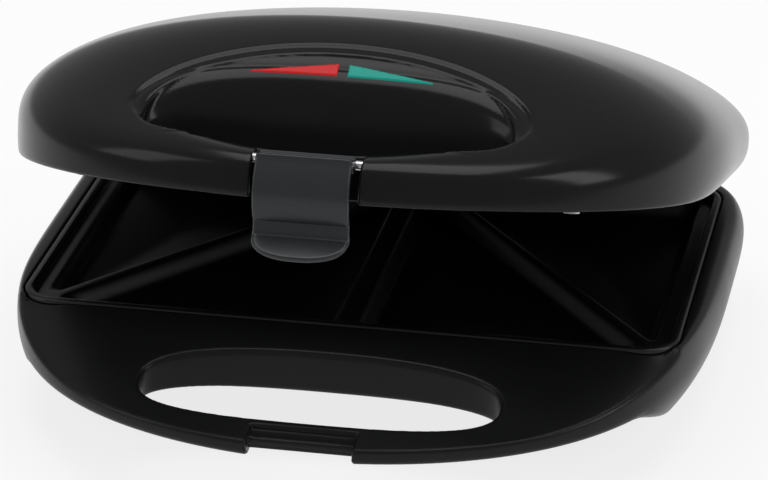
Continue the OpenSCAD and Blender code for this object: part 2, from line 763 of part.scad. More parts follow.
module lid_shell() {
    color([0.03, 0.03, 0.035]) place_lid() difference() {
        union() {
            difference() {
                lid_outside();
                lid_hollow();
            }
            beside_both() mirror([0, 0, 1]) knuckle(hinge_out, barrel_w);
            mirror([0, 0, 1]) knuckle(lead_barrel_w / 2 + run_gap / 2, lead_barrel_w);
            for (s = [-1, 1]) translate([0, plate_y + s * centre_screw_y, rail_z])
                cylinder(r = 5, h = dome_z(0, plate_y + s * centre_screw_y) - rail_z - 2);
            for (s = [-1, 1]) translate([s * 24, rim_y + 6, 28])
                cylinder(r = 3.2, h = dome_z(24, rim_y + 6) - 28 - 2.4);
        }
        mirror([0, 0, 1]) plate_well();
        brow_cutter();
        translate([0, grip_y, -5]) linear_extrude(far) oval(lid_grip_w, grip_d);
        lid_handle_hollow();
        notch(notch_back, -5, far);
        beside_both() translate([0, 0, 20]) linear_extrude(far) lens_plan(0.15);
        beside_both() translate([hinge_out - 30, hinge_y, 0]) rotate([0, 90, 0])
            cylinder(r = hinge_pin_r + pin_fit, h = 60);
        translate([-5, hinge_y, 0]) rotate([0, 90, 0])
            cylinder(r = lead_bore_r, h = lead_barrel_w + 10);
        translate([-notch_w / 2 - 3, latch_y, latch_z]) rotate([0, 90, 0])
            cylinder(r = clip_pin_r + press_fit, h = notch_w + 6);
        for (s = [-1, 1]) translate([0, plate_y + s * centre_screw_y, 0])
            cylinder(r = 1.95, h = rail_z + 12);
        for (s = [-1, 1]) translate([s * 24, rim_y + 6, 0]) cylinder(r = 1.3, h = 36);
        at_cover_screws() translate([0, 0, -1]) cylinder(r = 1.3, h = 10);
    }
}

module lid_handle_cover() {
    color([0.06, 0.06, 0.065]) place_lid() translate([0, 0, seam_z]) handle_cover(lid_grip_w);
}

module lid_cover_screws() {
    color([0.7, 0.7, 0.72]) place_lid() at_cover_screws()
        translate([0, 0, seam_z]) screw(1.28, 7, 2.6, 1.2);
}

module lid_plate() {
    color([0.13, 0.13, 0.13]) place_lid() mirror([0, 0, 1]) difference() {
        plate_casting()
            for (s = [-1, 1]) translate([0, plate_y + s * centre_screw_y, -rail_z])
                cylinder(r = 5, h = rail_z - ledge_z);
        for (s = [-1, 1]) translate([0, plate_y + s * centre_screw_y, 0]) {
            translate([0, 0, -far]) cylinder(r = 2.1, h = far);
            translate([0, 0, -lip_z - rim_h - 2.2]) cylinder(r1 = 2.1, r2 = 4.3, h = 2.2 + eps);
        }
    }
}

module lid_element() { place_lid() mirror([0, 0, 1]) element(); }

module lid_heat_shield() {
    place_lid() mirror([0, 0, 1]) heat_shield()
        for (s = [-1, 1]) translate([0, s * centre_screw_y, -1]) cylinder(r = 5.6, h = 8);
}

module lid_shield_screws() {
    color([0.7, 0.7, 0.72]) place_lid() mirror([0, 0, 1]) at_corners(post_x, post_y)
        translate([0, 0, -shield_z]) screw(1.73, 6, 3.4, 1.8);
}

// Countersunk screws in the land between the pockets, up into the shell's bosses
module lid_plate_screws() {
    head_z = lip_z + rim_h + 0.1;
    color([0.72, 0.72, 0.74]) place_lid() for (s = [-1, 1])
        translate([0, plate_y + s * centre_screw_y, head_z]) difference() {
            union() {
                cylinder(r1 = 4.1, r2 = 1.93, h = 2.17);
                cylinder(r = 1.93, h = rail_z + 9 - head_z);
            }
            for (a = [0, 90]) rotate(a) translate([-2.2, -0.4, -1]) cube([4.4, 0.8, 2.2]);
        }
}

// A lens fills its window and stands on the ledge inside
module lens() {
    intersection() {
        translate([0, 0, 20]) linear_extrude(40) lens_plan(0);
        translate([0, 0, -wall - 1.6]) difference() {
            brow_skin(wall + 2.2);
            brow_skin(0);
        }
    }
}

module brow_skin(lift) {
    translate([0, lens_y, dome_z(lens_near, lens_y) - brow_deep + lift])
        rotate([24, 6, 0]) translate([-far, -far, -far]) cube([2 * far, 2 * far, far]);
}

module red_lens() { color([0.8, 0.05, 0.04]) place_lid() mirror([1, 0, 0]) lens(); }

module green_lens() { color([0.02, 0.5, 0.38]) place_lid() lens(); }

module lamp_board() {
    color([0.62, 0.5, 0.3]) place_lid() translate([0, rim_y + 2, board_z]) difference() {
        translate([-30, -7, 0]) cube([60, 14, 1.6]);
        for (s = [-1, 1]) translate([s * 24, 4, -1]) cylinder(r = 1.5, h = 4);
    }
}

module lamp_board_screws() {
    color([0.7, 0.7, 0.72]) place_lid() for (s = [-1, 1])
        translate([s * 24, rim_y + 6, board_z]) screw(1.28, 7, 2.4, 1.4);
}

module neon_lamps() {
    r = 2.6;
    color([0.95, 0.8, 0.7]) place_lid() for (s = [-1, 1])
        translate([s * 11 - 7, rim_y - 2, board_z + 1.6 + r]) rotate([0, 90, 0]) {
            cylinder(r = r, h = 12);
            translate([0, 0, 12]) cylinder(r1 = r, r2 = 0.8, h = 2.4);
            translate([r / 2, 0, -1.6]) cylinder(r = 0.4, h = 1.6);
        }
}

module latch_pin() {
    color([0.78, 0.78, 0.8]) place_lid() translate([-notch_w / 2 - 2.8, latch_y, latch_z])
        rotate([0, 90, 0]) cylinder(r = clip_pin_r, h = notch_w + 5.6);
}

// Bowed wall from the barrel down to the crease
module clip_bow_plan() {
    intersection() {
        translate(clip_bow) difference() {
            circle(clip_bow_r, $fn = 96);
            circle(clip_bow_r - clip_t, $fn = 96);
        }
        polygon([[-20, crease[1]], [-20, 1.3], [-3, 1.3], [-1, crease[1]]]);
    }
}

// Cheek that ties the bowed wall to the barrel, a little inside the wall's outline
module clip_cheek() {
    intersection() {
        translate(clip_bow) circle(clip_bow_r - 0.9, $fn = 96);
        polygon([[-20, crease[1] + 0.8], [-20, 0.6], [-5, 0.6], [-0.8, clip_barrel_r - 0.7],
            [clip_barrel_r - 0.6, 0], [-2, crease[1] + 0.8]]);
    }
}

// A straight strip from a to b, with its front on the line and its thickness behind
module strip(a, b, t) {
    side = [a[1] - b[1], b[0] - a[0]] / norm(b - a) * t;
    polygon([a, b, b + side, a + side]);
}

module clip_profile() {
    clip_bow_plan();
    circle(clip_barrel_r);
    // Web that ties the barrel to the wall's top
    polygon([[-6.6, 1.1], [-0.6, clip_barrel_r - 0.2], [-1, 1], [-6, -2]]);
    // Wall behind the crease, a step back from the bow, down to the flange
    strip(crease + [0.9, 0.8], panel_end + [0.25, -0.76], clip_t - 0.5);
    // Tooth that reaches under the catch
    intersection() {
        difference() {
            circle(tooth_r + 2.2, $fn = 96);
            circle(tooth_r, $fn = 96);
        }
        translate([panel_end[0] - 0.6, -tooth_r - 4])
            square([catch_front + catch_grip - latch_y - panel_end[0] + 0.6, 8]);
    }
}

// Flange that the finger lifts: a D in plan, sloping down and forward
module clip_flange() {
    reach = 10.5;
    curve_r = 0.545 * clip_w;
    tab_w = clip_w - 0.4;
    root = 1.9;
    translate([0, panel_end[0], panel_end[1]]) rotate([41, 0, 0])
        translate([0, 0, -2]) linear_extrude(2) intersection() {
            translate([0, curve_r - reach]) circle(curve_r, $fn = 96);
            translate([-tab_w / 2, -reach]) square([tab_w, reach + root]);
        }
}

module latch_clip() {
    cheek = 2;
    color([0.16, 0.17, 0.18]) place_lid() translate([0, latch_y, latch_z])
        rotate([-clip_swing, 0, 0]) difference() {
            union() {
                rotate([90, 0, 90]) translate([0, 0, -clip_w / 2]) linear_extrude(clip_w)
                    clip_profile();
                beside_both() rotate([90, 0, 90]) translate([0, 0, clip_w / 2 - cheek - 0.4])
                    linear_extrude(cheek) clip_cheek();
                clip_flange();
            }
            translate([-clip_w, 0, 0]) rotate([0, 90, 0])
                cylinder(r = clip_pin_r + pin_fit, h = 2 * clip_w);
        }
}

base_shell();
base_handle_cover();
base_cover_screws();
base_plate();
base_element();
base_heat_shield();
base_plate_screws();
thermostat();
thermostat_bracket();
thermal_fuse();
fuse_strap();
base_small_screws();
terminal_block();
terminal_screws();
cord_gland();
feet();
hinge_pins();
lid_leads();
lid_shell();
lid_handle_cover();
lid_cover_screws();
lid_plate();
lid_element();
lid_heat_shield();
lid_shield_screws();
lid_plate_screws();
red_lens();
green_lens();
neon_lamps();
lamp_board();
lamp_board_screws();
latch_pin();
latch_clip();
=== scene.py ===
"""Looks of a two-slice sandwich toaster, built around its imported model.

Shells, plates and the clip are skinned from smooth distance fields that follow the model's
sizes, so that every moulded edge is round. From outside they differ from the model mainly in two
forms: the lid is lower in front, and the clip's panel is shorter. Where nothing shows they are
simpler: the handles are solid above their covers, the plates are thicker underneath, and small
bosses and the feet's seats are left out. Fields work in millimetres and in the pose in which the
lid is shut; the lid's pieces are then turned ajar about the hinge.
"""
import logging
import math
from dataclasses import dataclass, field
from enum import Enum
from typing import Callable

import bpy
import numpy as np
from mathutils import Matrix, Vector


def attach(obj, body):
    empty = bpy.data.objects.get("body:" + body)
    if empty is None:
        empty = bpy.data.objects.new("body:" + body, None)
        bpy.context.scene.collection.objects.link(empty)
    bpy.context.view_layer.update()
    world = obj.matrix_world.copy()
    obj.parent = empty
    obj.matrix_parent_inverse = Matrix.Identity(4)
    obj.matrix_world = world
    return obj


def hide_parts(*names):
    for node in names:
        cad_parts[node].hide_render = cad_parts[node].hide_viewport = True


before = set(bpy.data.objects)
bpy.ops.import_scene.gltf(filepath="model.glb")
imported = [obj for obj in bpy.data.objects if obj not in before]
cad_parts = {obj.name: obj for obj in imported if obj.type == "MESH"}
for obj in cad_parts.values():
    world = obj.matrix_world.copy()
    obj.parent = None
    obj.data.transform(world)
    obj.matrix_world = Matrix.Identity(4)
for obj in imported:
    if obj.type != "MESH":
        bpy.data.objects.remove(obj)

LOG = logging.getLogger("toaster")
MM = 0.001
DIAGONAL = 1.414
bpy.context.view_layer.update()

Array = np.ndarray
Field = Callable[[Array, Array, Array], Array]


# ---------------------------------------------------------------- fields


def smooth(v: Array) -> Array:
    """Smooth step from 0 to 1 as v goes from 0 to 1."""
    s = np.clip(v, 0.0, 1.0)
    return s * s * (3.0 - 2.0 * s)


def mix(a: Array, b: Array, s: Array) -> Array:
    """Value between a at s = 0 and b at s = 1."""
    return a + (b - a) * s


def smax(a: Array, b: Array, r: float) -> Array:
    """Larger of two distances, with the edge between them rounded.

    Args:
        a: first distance.
        b: second distance.
        r: reach of the rounding, in millimetres.

    Returns:
        The rounded maximum: the solid where both are inside.
    """
    h = np.maximum(r - np.abs(a - b), 0.0)
    return np.maximum(a, b) + h * h * (0.25 / r)


def smin(a: Array, b: Array, r: float) -> Array:
    """Smaller of two distances, with the inside corner between them filled by reach r."""
    return -smax(-a, -b, r)


def oval(x: Array, y: Array, w: float, d: float, p: float = 2.4) -> Array:
    """Distance to a superellipse of full size w by d, negative inside.

    Args:
        x: first coordinate.
        y: second coordinate.
        w: full width.
        d: full depth.
        p: exponent of the superellipse.

    Returns:
        The distance, to first order near the outline.
    """
    u = np.abs(x) / (w / 2)
    v = np.abs(y) / (d / 2)
    value = (u ** p + v ** p) ** (1 / p) + 1e-6
    gu = (u / value) ** (p - 1) / (w / 2)
    gv = (v / value) ** (p - 1) / (d / 2)
    return (value - 1.0) / np.sqrt(gu * gu + gv * gv + 1e-9)


def round_rect(x: Array, y: Array, w: float, d: float, r: float) -> Array:
    """Distance to a rectangle w by d with corners of radius r, negative inside."""
    ax = np.abs(x) - (w / 2 - r)
    ay = np.abs(y) - (d / 2 - r)
    out = np.sqrt(np.maximum(ax, 0) ** 2 + np.maximum(ay, 0) ** 2)
    return out + np.minimum(np.maximum(ax, ay), 0) - r


def rod(a: Array, b: Array, along: Array, r: float, lo: float, hi: float) -> Array:
    """Distance to a cylinder about the axis a = b = 0, from lo to hi along it."""
    return np.maximum(np.sqrt(a * a + b * b) - r, np.maximum(lo - along, along - hi))


def block(x: Array, y: Array, z: Array, lo: tuple, hi: tuple) -> Array:
    """Distance to a box from corner lo to corner hi."""
    dx = np.maximum(lo[0] - x, x - hi[0])
    dy = np.maximum(lo[1] - y, y - hi[1])
    dz = np.maximum(lo[2] - z, z - hi[2])
    return np.maximum(np.maximum(dx, dy), dz)


class Skin:
    """Turns a distance field into a mesh: one vertex in each cell that the surface crosses.

    PROBE is half the span of a slope's measure, in millimetres. LEAST_SQUARE keeps a flat field
    from throwing a vertex far, and REACH is the most of a cell that one step crosses.
    """

    PROBE = 0.05
    LEAST_SQUARE = 0.04
    REACH = 0.4

    def __init__(self, shape: Field, lo: tuple, hi: tuple, step: float) -> None:
        """Samples the field.

        Args:
            shape: the field, in millimetres.
            lo: lowest corner of the region.
            hi: highest corner of the region.
            step: size of a cell.
        """
        self.shape = shape
        self.step = step
        self.lo = np.array(lo, float)
        axes = [np.arange(a, b + step, step, dtype=np.float32) for a, b in zip(lo, hi)]
        self.values = shape(axes[0][:, None, None], axes[1][None, :, None],
                            axes[2][None, None, :]).astype(np.float32)

    def points(self) -> tuple[Array, Array]:
        """Finds the vertex of each crossed cell.

        Returns:
            The vertices, and the grid of their numbers, -1 where a cell has none.
        """
        f = self.values
        inside = f < 0
        shape = tuple(n - 1 for n in f.shape)
        count = np.zeros(shape, np.int8)
        corners = [(a, b, c) for a in (0, 1) for b in (0, 1) for c in (0, 1)]
        for a, b, c in corners:
            count += inside[a:a + shape[0], b:b + shape[1], c:c + shape[2]]
        active = (count > 0) & (count < 8)
        cells = np.argwhere(active)
        number = np.full(shape, -1, np.int64)
        number[active] = np.arange(len(cells))
        total = np.zeros((len(cells), 3))
        hits = np.zeros(len(cells))
        for a in corners:
            for axis in range(3):
                if a[axis]:
                    continue
                b = tuple(v + (k == axis) for k, v in enumerate(a))
                fa = f[tuple((cells + a).T)]
                fb = f[tuple((cells + b).T)]
                cross = (fa < 0) != (fb < 0)
                t = np.where(cross, fa / np.where(cross, fa - fb, 1.0), 0.0)
                spot = np.array(a, float) + np.outer(t, np.eye(3)[axis])
                total += spot * cross[:, None]
                hits += cross
        return self.lo + (cells + total / hits[:, None]) * self.step, number

    def quads(self, number: Array) -> Array:
        """Joins the vertices round each crossed grid edge, facing outwards."""
        inside = self.values < 0
        found = []
        for axis in range(3):
            u, v = (axis + 1) % 3, (axis + 2) % 3
            n = inside.shape[axis]
            s0 = np.take(inside, np.arange(n - 1), axis)
            s1 = np.take(inside, np.arange(1, n), axis)
            at = np.argwhere(s0 != s1)
            at = at[(at[:, u] > 0) & (at[:, v] > 0)]
            at = at[(at[:, u] < inside.shape[u] - 1) & (at[:, v] < inside.shape[v] - 1)]
            du, dv = np.eye(3, dtype=int)[u], np.eye(3, dtype=int)[v]
            ring = [number[tuple(c.T)] for c in (at, at - du, at - du - dv, at - dv)]
            quad = np.stack(ring, 1)
            leaving = s0[tuple(at.T)]
            quad[~leaving] = quad[~leaving][:, ::-1]
            found.append(quad)
        return np.concatenate(found)

    def settle(self, verts: Array, rounds: int = 2) -> Array:
        """Moves the vertices on to the surface itself, by Newton's steps."""
        h = self.PROBE
        reach = self.REACH * self.step
        for _ in range(rounds):
            x, y, z = verts.T
            value = self.shape(x, y, z)
            grad = np.stack([
                self.shape(x + h, y, z) - self.shape(x - h, y, z),
                self.shape(x, y + h, z) - self.shape(x, y - h, z),
                self.shape(x, y, z + h) - self.shape(x, y, z - h)], 1) / (2 * h)
            size = np.maximum((grad ** 2).sum(1), self.LEAST_SQUARE)
            move = -(value / size)[:, None] * grad
            verts = verts + np.clip(move, -reach, reach)
        return verts

    def build(self, name: str, place: Matrix) -> bpy.types.Object:
        """Makes the object.

        Args:
            name: the piece's name.
            place: from the field's millimetres to the frame's metres.

        Returns:
            The new object, smooth shaded, with its place in its mesh.
        """
        verts, number = self.points()
        verts = self.settle(verts)
        quads = self.quads(number)
        mesh = bpy.data.meshes.new(name)
        mesh.vertices.add(len(verts))
        mesh.vertices.foreach_set("co", verts.astype(np.float32).ravel())
        mesh.loops.add(quads.size)
        mesh.loops.foreach_set("vertex_index", quads.astype(np.int32).ravel())
        mesh.polygons.add(len(quads))
        mesh.polygons.foreach_set("loop_start", np.arange(0, quads.size, 4, dtype=np.int32))
        mesh.polygons.foreach_set("use_smooth", np.ones(len(quads), bool))
        mesh.update(calc_edges=True)
        mesh.validate()
        mesh.transform(place)
        if place.determinant() < 0:
            mesh.flip_normals()
        piece = bpy.data.objects.new(name, mesh)
        bpy.context.scene.collection.objects.link(piece)
        LOG.info("%s: %d vertices, %d faces", name, len(verts), len(quads))
        return piece


# ---------------------------------------------------------------- sizes


@dataclass(frozen=True)
class Plan:
    """The casing's main sizes, in millimetres, which follow the model's."""

    width: float = 232.0
    depth: float = 220.0
    base_h: float = 40.0
    lid_h: float = 51.0
    widest_back: float = 151.0
    middle_back: float = 111.7
    reach: float = 66.0
    plate_w: float = 214.0
    plate_d: float = 134.0
    grip_out: float = 35.0
    grip_d: float = 35.0
    ajar: float = 17.0
    wall: float = 2.6
    front_p: float = 3.25
    rear_p: float = 5.0
    seam: float = 0.8
    lip: float = 0.3
    rim: float = 3.0
    cast: float = 2.7
    hinge_out: float = 3.5
    post_x: float = 78.0
    post_y: float = 38.86

    @property
    def front(self) -> float:
        """Front of the handles."""
        return -self.middle_back

    @property
    def rear(self) -> float:
        """Rear of the casing."""
        return self.front + self.depth

    @property
    def rim_y(self) -> float:
        """Front of the plates."""
        return self.front + self.reach

    @property
    def mid(self) -> float:
        """Where the casing is widest."""
        return self.front + self.widest_back

    @property
    def plate_y(self) -> float:
        """Middle of the plates."""
        return self.rim_y + self.plate_d / 2

    @property
    def grip(self) -> float:
        """Middle of the finger openings."""
        return self.rim_y - self.grip_out

    @property
    def hinge(self) -> float:
        """Hinge axis."""
        return self.rear + self.hinge_out

    @property
    def ledge(self) -> float:
        """Depth of the seat under a plate's rim."""
        return self.lip + self.rim + self.cast

    def beside(self, y: Array) -> Array:
        """0 on the handle's front, rising to 1 beside the plates, for heights."""
        return smooth((y - self.rim_y + 50) / 62)

    def waist(self, y: Array) -> Array:
        """0 on the handle's front, rising to 1 beside the plates, for insets."""
        return smooth((y - self.rim_y + 4) / 75)

    def share(self, x: Array, y: Array) -> Array:
        """How far out a point lies: 0 at the widest line's middle, 1 on the outline."""
        dy = y - self.mid
        a = self.width / 2
        u, v = np.abs(x) / a, np.abs(dy) / np.where(dy < 0, self.widest_back, self.rear - self.mid)
        rear = (u ** self.rear_p + v ** self.rear_p) ** (1 / self.rear_p)
        p = 1 / np.maximum((u ** 2.5 + v ** 2.5) ** 0.4, 1e-3)
        uu, vv = u * u, v ** self.front_p
        for _ in range(5):
            p = p - (uu * p ** 2 + vv * p ** self.front_p - 1) / (
                2 * uu * p + self.front_p * vv * p ** (self.front_p - 1) + 1e-9)
        return np.where(dy < 0, 1 / np.maximum(p, 1e-6), rear)

    def outline(self, x: Array, y: Array) -> tuple[Array, Array, Array]:
        """Where a point lies against the casing's outline.

        Args:
            x: first coordinate.
            y: second coordinate.

        Returns:
            The share out, the distance to the outline, and the share's slope.
        """
        h = 0.5
        q = self.share(x, y)
        gx = (self.share(x + h, y) - self.share(x - h, y)) / (2 * h)
        gy = (self.share(x, y + h) - self.share(x, y - h)) / (2 * h)
        slope = np.sqrt(gx * gx + gy * gy) + 1e-5
        return q, (q - 1) / slope, slope

    def base_place(self) -> Matrix:
        """From a base field's millimetres, z at the parting plane, to the frame."""
        return Matrix.Scale(MM, 4) @ Matrix.Translation((0, 0, self.base_h))

    def lid_place(self) -> Matrix:
        """From a lid field's millimetres, shut, to the frame, ajar."""
        to_hinge = Matrix.Translation((0, self.hinge, self.base_h))
        turn = Matrix.Rotation(math.radians(-self.ajar), 4, "X")
        return Matrix.Scale(MM, 4) @ to_hinge @ turn @ Matrix.Translation((0, -self.hinge, 0))


PLAN = Plan()


# ---------------------------------------------------------------- finishes


class Tone(Enum):
    """Colours of the plain finishes, as linear RGB."""

    BASE_BLACK = (0.0075, 0.0078, 0.0082)
    LID_BLACK = (0.006, 0.0062, 0.0066)
    CLIP_GREY = (0.022, 0.0245, 0.027)
    COAT = (0.008, 0.008, 0.008)
    ELEMENT = (0.13, 0.125, 0.12)
    SHEET = (0.62, 0.63, 0.65)
    ZINC = (0.55, 0.56, 0.57)
    BRIGHT = (0.62, 0.62, 0.64)
    BRASS = (0.6, 0.42, 0.16)
    CERAMIC = (0.72, 0.69, 0.62)
    SLEEVE = (0.6, 0.57, 0.48)
    RUBBER = (0.012, 0.012, 0.012)
    BOARD = (0.3, 0.19, 0.08)


@dataclass(frozen=True)
class Finish:
    """A surface: its shader values and the fine noise that breaks them up.

    WIDER is how much coarser the roughness noise is than the grain, and NOISE_SPAN is the part of
    a noise's range that is spread over the roughness.
    """

    WIDER = 40
    NOISE_SPAN = (0.3, 0.7)

    name: str
    tone: Tone
    rough: float
    spread: float = 0.05
    metal: float = 0.0
    grain: float = 900.0
    bump: float = 0.02
    depth: float = 0.00002
    mottle: float = 0.12
    level: float = 0.5

    def material(self) -> bpy.types.Material:
        """Builds the node material once and returns it."""
        found = bpy.data.materials.get(self.name)
        if found:
            return found
        made = bpy.data.materials.new(self.name)
        made.use_nodes = True
        tree = made.node_tree
        shader = tree.nodes["Principled BSDF"]
        shader.inputs["Metallic"].default_value = self.metal
        shader.inputs["Specular IOR Level"].default_value = self.level
        where = tree.nodes.new("ShaderNodeTexCoord")
        fine = self._noise(tree, where, self.grain, 3.0)
        wide = self._noise(tree, where, self.grain / self.WIDER, 2.0)
        self._ramp(tree, wide, shader.inputs["Roughness"],
                   self.rough - self.spread, self.rough + self.spread)
        blend = tree.nodes.new("ShaderNodeMix")
        blend.data_type = "RGBA"
        dark = [c * (1 - self.mottle) for c in self.tone.value]
        light = [c * (1 + self.mottle) for c in self.tone.value]
        blend.inputs["A"].default_value = (*dark, 1)
        blend.inputs["B"].default_value = (*light, 1)
        tree.links.new(fine.outputs["Fac"], blend.inputs["Factor"])
        tree.links.new(blend.outputs["Result"], shader.inputs["Base Color"])
        bump = tree.nodes.new("ShaderNodeBump")
        bump.inputs["Strength"].default_value = self.bump
        bump.inputs["Distance"].default_value = self.depth
        tree.links.new(fine.outputs["Fac"], bump.inputs["Height"])
        tree.links.new(bump.outputs["Normal"], shader.inputs["Normal"])
        return made

    @staticmethod
    def _noise(tree: bpy.types.NodeTree, where: bpy.types.Node, scale: float,
               detail: float) -> bpy.types.Node:
        """Adds a noise texture in object coordinates."""
        noise = tree.nodes.new("ShaderNodeTexNoise")
        noise.inputs["Scale"].default_value = scale
        noise.inputs["Detail"].default_value = detail
        tree.links.new(where.outputs["Object"], noise.inputs["Vector"])
        return noise

    @staticmethod
    def _ramp(tree: bpy.types.NodeTree, source: bpy.types.Node,
              target: bpy.types.NodeSocket, low: float, high: float) -> None:
        """Feeds a noise, spread from low to high, to a socket."""
        scale = tree.nodes.new("ShaderNodeMapRange")
        scale.inputs["From Min"].default_value = Finish.NOISE_SPAN[0]
        scale.inputs["From Max"].default_value = Finish.NOISE_SPAN[1]
        scale.inputs["To Min"].default_value = max(low, 0.0)
        scale.inputs["To Max"].default_value = high
        tree.links.new(source.outputs["Fac"], scale.inputs["Value"])
        tree.links.new(scale.outputs["Result"], target)


@dataclass(frozen=True)
class Lens:
    """A clear moulded lens, brighter than its surroundings because of the lamp behind it."""

    name: str
    colour: tuple[float, float, float]
    glow: float
    rough: float = 0.3
    level: float = 0.15
    ribs: float = 420.0
    # shade sets the painted shade of the ribs: every other stripe across the lens is darkened by
    # it.
    shade: float = 0.9

    def material(self) -> bpy.types.Material:
        """Builds the node material."""
        made = bpy.data.materials.new(self.name)
        made.use_nodes = True
        tree = made.node_tree
        shader = tree.nodes["Principled BSDF"]
        shader.inputs["Roughness"].default_value = self.rough
        shader.inputs["Specular IOR Level"].default_value = self.level
        where = tree.nodes.new("ShaderNodeTexCoord")
        # Painted shade: a wave paints darker stripes across the lens where its ribs are.
        ribs = tree.nodes.new("ShaderNodeTexWave")
        ribs.inputs["Scale"].default_value = self.ribs
        tree.links.new(where.outputs["Object"], ribs.inputs["Vector"])
        blend = tree.nodes.new("ShaderNodeMix")
        blend.data_type = "RGBA"
        blend.inputs["A"].default_value = (*[c * self.shade for c in self.colour], 1)
        blend.inputs["B"].default_value = (*self.colour, 1)
        tree.links.new(ribs.outputs["Fac"], blend.inputs["Factor"])
        tree.links.new(blend.outputs["Result"], shader.inputs["Base Color"])
        shader.inputs["Emission Color"].default_value = (*self.colour, 1)
        shader.inputs["Emission Strength"].default_value = self.glow
        return made


SATIN = Finish("satin_black", Tone.BASE_BLACK, 0.30, 0.03, grain=1400, bump=0.10,
               depth=0.00003, level=0.16)
GLOSS = Finish("gloss_black", Tone.LID_BLACK, 0.18, 0.015, grain=260, bump=0.03,
               depth=0.00004, level=0.18)
CLIP = Finish("clip_grey", Tone.CLIP_GREY, 0.27, 0.03, grain=1500, bump=0.10, depth=0.00003,
              level=0.3)
COATED = Finish("coated_plate", Tone.COAT, 0.36, 0.05, grain=2600, bump=0.25, depth=0.00006,
                level=0.25)
ELEMENT = Finish("element_steel", Tone.ELEMENT, 0.45, 0.1, metal=1.0, mottle=0.3)
SHEET = Finish("pressed_sheet", Tone.SHEET, 0.3, 0.08, metal=1.0)
ZINC = Finish("zinc_plate", Tone.ZINC, 0.28, 0.06, metal=1.0)
BRIGHT = Finish("bright_steel", Tone.BRIGHT, 0.16, 0.04, metal=1.0)
BRASS = Finish("brass", Tone.BRASS, 0.3, 0.05, metal=1.0)
CERAMIC = Finish("ceramic", Tone.CERAMIC, 0.5, 0.08, bump=0.1)
SLEEVE = Finish("glass_sleeve", Tone.SLEEVE, 0.8, 0.05, bump=0.6, depth=0.0002)
RUBBER = Finish("foot_rubber", Tone.RUBBER, 0.6, 0.06, bump=0.2)
BOARD = Finish("lamp_board", Tone.BOARD, 0.5, 0.06)
RED = Lens("red_lens_plastic", (0.56, 0.012, 0.014), 0.1)
GREEN = Lens("green_lens_plastic", (0.004, 0.3, 0.235), 0.1)
LAMP = Lens("lamp_glass", (0.75, 0.5, 0.35), 0.05)

NODE_FINISH = {
    "base_shell": SATIN, "base_handle_cover": SATIN, "lid_handle_cover": SATIN,
    "lid_shell": GLOSS, "latch_clip": CLIP, "base_plate": COATED, "lid_plate": COATED,
    "base_element": ELEMENT, "lid_element": ELEMENT, "base_heat_shield": SHEET,
    "lid_heat_shield": SHEET, "thermostat_bracket": SHEET, "fuse_strap": SHEET,
    "thermostat": CERAMIC, "terminal_block": CERAMIC, "thermal_fuse": ZINC,
    "lid_leads": SLEEVE, "terminal_screws": BRASS, "cord_gland": RUBBER, "feet": RUBBER,
    "red_lens": RED, "green_lens": GREEN, "neon_lamps": LAMP, "lamp_board": BOARD,
    "hinge_pins": BRIGHT, "latch_pin": BRIGHT,
}


def dress(piece: bpy.types.Object, finish: Finish | Lens) -> None:
    """Gives a piece one finish all over."""
    made = finish.material()
    if piece.data.materials:
        for k in range(len(piece.data.materials)):
            piece.data.materials[k] = made
    else:
        piece.data.materials.append(made)


# ---------------------------------------------------------------- studio


